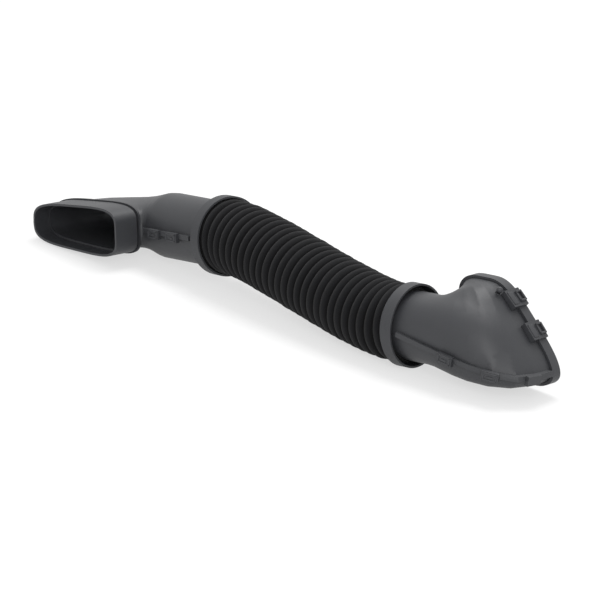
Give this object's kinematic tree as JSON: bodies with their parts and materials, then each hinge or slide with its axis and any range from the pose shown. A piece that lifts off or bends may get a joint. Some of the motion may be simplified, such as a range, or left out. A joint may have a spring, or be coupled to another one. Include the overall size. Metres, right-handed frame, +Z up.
{
  "type": "air intake hose",
  "caption": "Air intake hose: a flat inlet mouth on a moulded elbow, a pleated fleece bellows between two round collars, and a moulded outlet elbow with a fin-shaped mouth.",
  "frame": {"origin": "middle of the footprint, on the floor that the hose lies on", "axes": "+X along the hose from the inlet to the outlet, +Y the way the outlet mouth faces, +Z up"},
  "size_m": [0.6732, 0.1852, 0.1024],
  "materials": {
    "grey_plastic": "matte charcoal moulded plastic",
    "black_fleece": "black pleated fleece"
  },
  "bodies": {
    "root": {"inlet_frame": "grey_plastic", "inlet_upper_shell": "grey_plastic", "inlet_lower_shell": "grey_plastic", "inlet_collar": "grey_plastic", "bellows": "black_fleece", "outlet_collar": "grey_plastic", "outlet_upper_shell": "grey_plastic", "outlet_lower_shell": "grey_plastic", "outlet_frame": "grey_plastic"}
  },
  "joints": []
}
